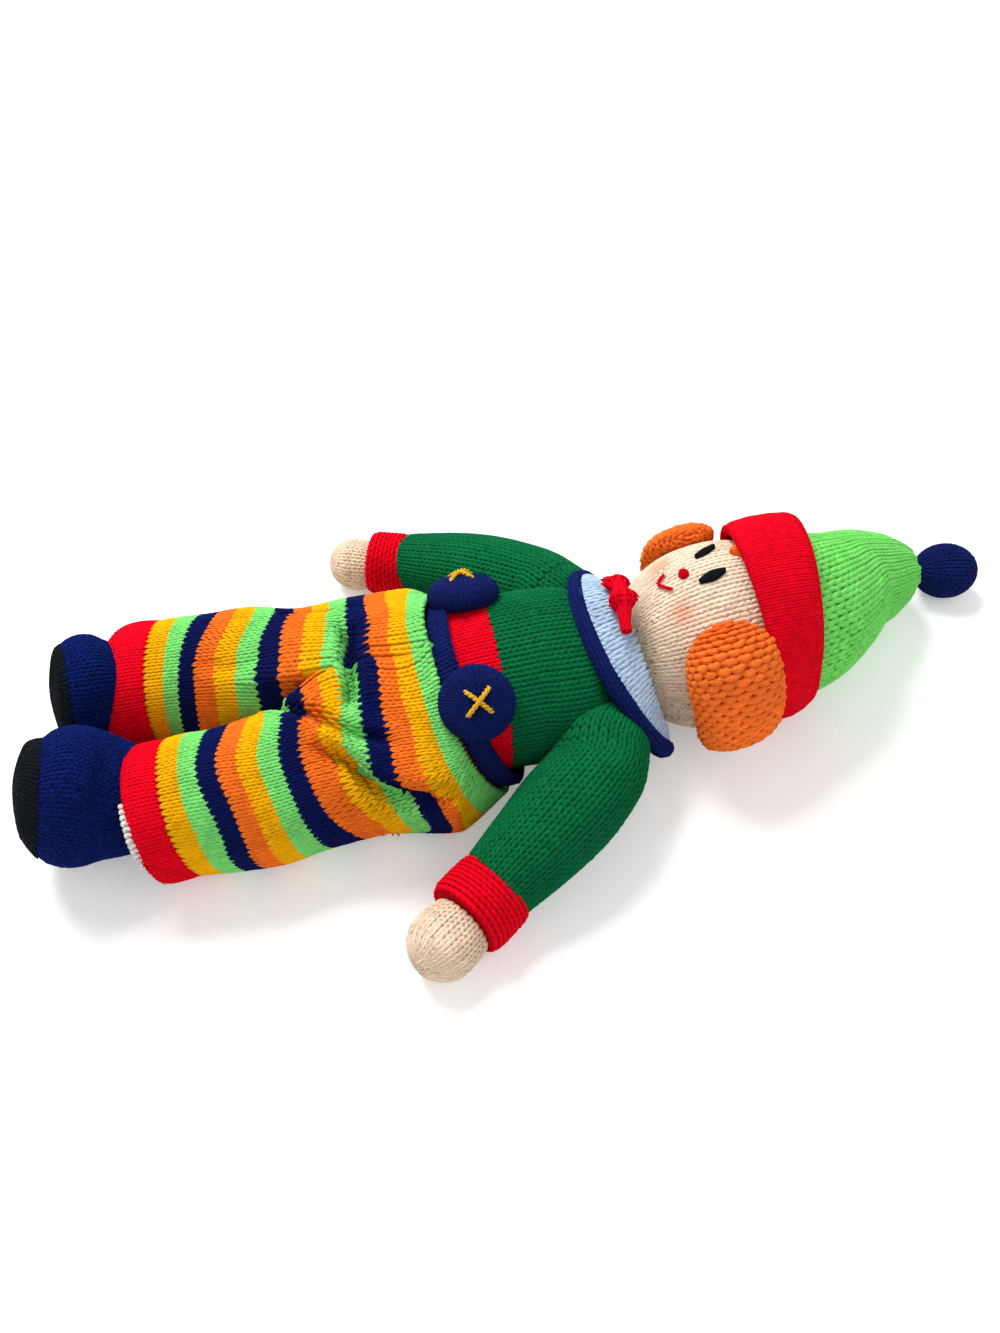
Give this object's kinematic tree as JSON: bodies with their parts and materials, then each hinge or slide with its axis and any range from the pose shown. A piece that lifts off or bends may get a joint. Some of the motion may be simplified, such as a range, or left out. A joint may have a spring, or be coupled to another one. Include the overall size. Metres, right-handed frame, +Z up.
{
  "type": "knitted clown doll",
  "caption": "Stuffed hand-knitted clown doll lying on its back, with a pointed hat, striped trousers and jointed head, arms and legs.",
  "frame": {"origin": "middle of the footprint of the lying doll, on the table", "axes": "+X from the shoes towards the hat, +Z up through the face, +Y towards the doll's right"},
  "size_m": [0.4306, 0.2314, 0.0861],
  "materials": {
    "green_knit": "bottle green wool yarn in stocking stitch",
    "red_knit": "bright red wool yarn in stocking stitch",
    "navy_knit": "navy blue wool yarn",
    "cream_knit": "cream wool yarn in stocking stitch",
    "striped_knit": "stocking stitch in stripes of yellow, lime, navy and orange yarn",
    "blue_knit": "marled royal blue wool yarn",
    "black_yarn": "near-black wool yarn",
    "orange_knit": "orange wool yarn in bobbly moss stitch",
    "lime_knit": "lime green wool yarn in rib",
    "pale_blue_knit": "pale blue wool yarn in rib",
    "gold_yarn": "gold embroidery yarn",
    "filling": "calico and fibre filling inside the knitted skins"
  },
  "bodies": {
    "torso": {"sweater_body": "green_knit", "body_belt": "red_knit", "body_hips": "filling", "trouser_seat": "striped_knit", "trouser_waistband": "navy_knit", "collar": "pale_blue_knit", "collar_edge": "navy_knit", "bow_tie": "red_knit", "button_left": "navy_knit", "button_cross_left": "gold_yarn", "button_right": "navy_knit", "button_cross_right": "gold_yarn"},
    "neck_ball": {"neck": "cream_knit"},
    "head": {"head": "cream_knit", "eye_left": "black_yarn", "eye_right": "black_yarn", "nose": "red_knit", "mouth": "red_knit", "forelock": "orange_knit", "hair_left": "orange_knit", "hair_right": "orange_knit", "hat_brim": "red_knit", "hat_crown": "lime_knit"},
    "pompom": {"pompom": "navy_knit"},
    "shoulder_left": {"arm_tie_left": "filling"},
    "arm_left": {"sleeve_left": "green_knit", "sleeve_cuff_left": "red_knit", "hand_left": "cream_knit"},
    "shoulder_right": {"arm_tie_right": "filling"},
    "arm_right": {"sleeve_right": "green_knit", "sleeve_cuff_right": "red_knit", "hand_right": "cream_knit"},
    "leg_left": {"trouser_leg_left": "striped_knit", "trouser_cuff_left": "red_knit", "inner_leg_left": "filling", "shoe_left": "blue_knit", "shoe_sole_left": "black_yarn"},
    "leg_right": {"trouser_leg_right": "striped_knit", "trouser_cuff_right": "red_knit", "inner_leg_right": "filling", "shoe_right": "blue_knit", "shoe_sole_right": "black_yarn"}
  },
  "joints": [
    {"name": "neck_tilt", "type": "hinge", "parent": "torso", "child": "neck_ball", "pos_m": [0.02552, -0.00015, 0.033], "axis": [0, 0, 1], "range_deg": [-8, 8]},
    {"name": "neck_turn", "type": "hinge", "parent": "neck_ball", "child": "head", "pos_m": [0.02552, -0.00015, 0.033], "axis": [0.9894, 0.0415, 0.1392], "range_deg": [-35, 35]},
    {"name": "pompom_swing", "type": "hinge", "parent": "head", "child": "pompom", "pos_m": [0.18502, 0.04295, 0.016], "axis": [0, 0, 1], "range_deg": [-12, 25]},
    {"name": "shoulder_raise_left", "type": "hinge", "parent": "torso", "child": "shoulder_left", "pos_m": [0.00852, -0.04255, 0.033], "axis": [0, 1, 0], "range_deg": [0, 80]},
    {"name": "shoulder_spread_left", "type": "hinge", "parent": "shoulder_left", "child": "arm_left", "pos_m": [0.00852, -0.04255, 0.033], "axis": [0, 0, 1], "range_deg": [-8, 35]},
    {"name": "shoulder_raise_right", "type": "hinge", "parent": "torso", "child": "shoulder_right", "pos_m": [0.00852, 0.03945, 0.033], "axis": [0, 1, 0], "range_deg": [0, 80]},
    {"name": "shoulder_spread_right", "type": "hinge", "parent": "shoulder_right", "child": "arm_right", "pos_m": [0.00852, 0.03945, 0.033], "axis": [0, 0, 1], "range_deg": [-35, 8]},
    {"name": "hip_left", "type": "hinge", "parent": "torso", "child": "leg_left", "pos_m": [-0.08747, -0.03155, 0.0275], "axis": [0, 1, 0], "range_deg": [-5, 80]},
    {"name": "hip_right", "type": "hinge", "parent": "torso", "child": "leg_right", "pos_m": [-0.08747, 0.02845, 0.0275], "axis": [0, 1, 0], "range_deg": [-5, 80]}
  ]
}
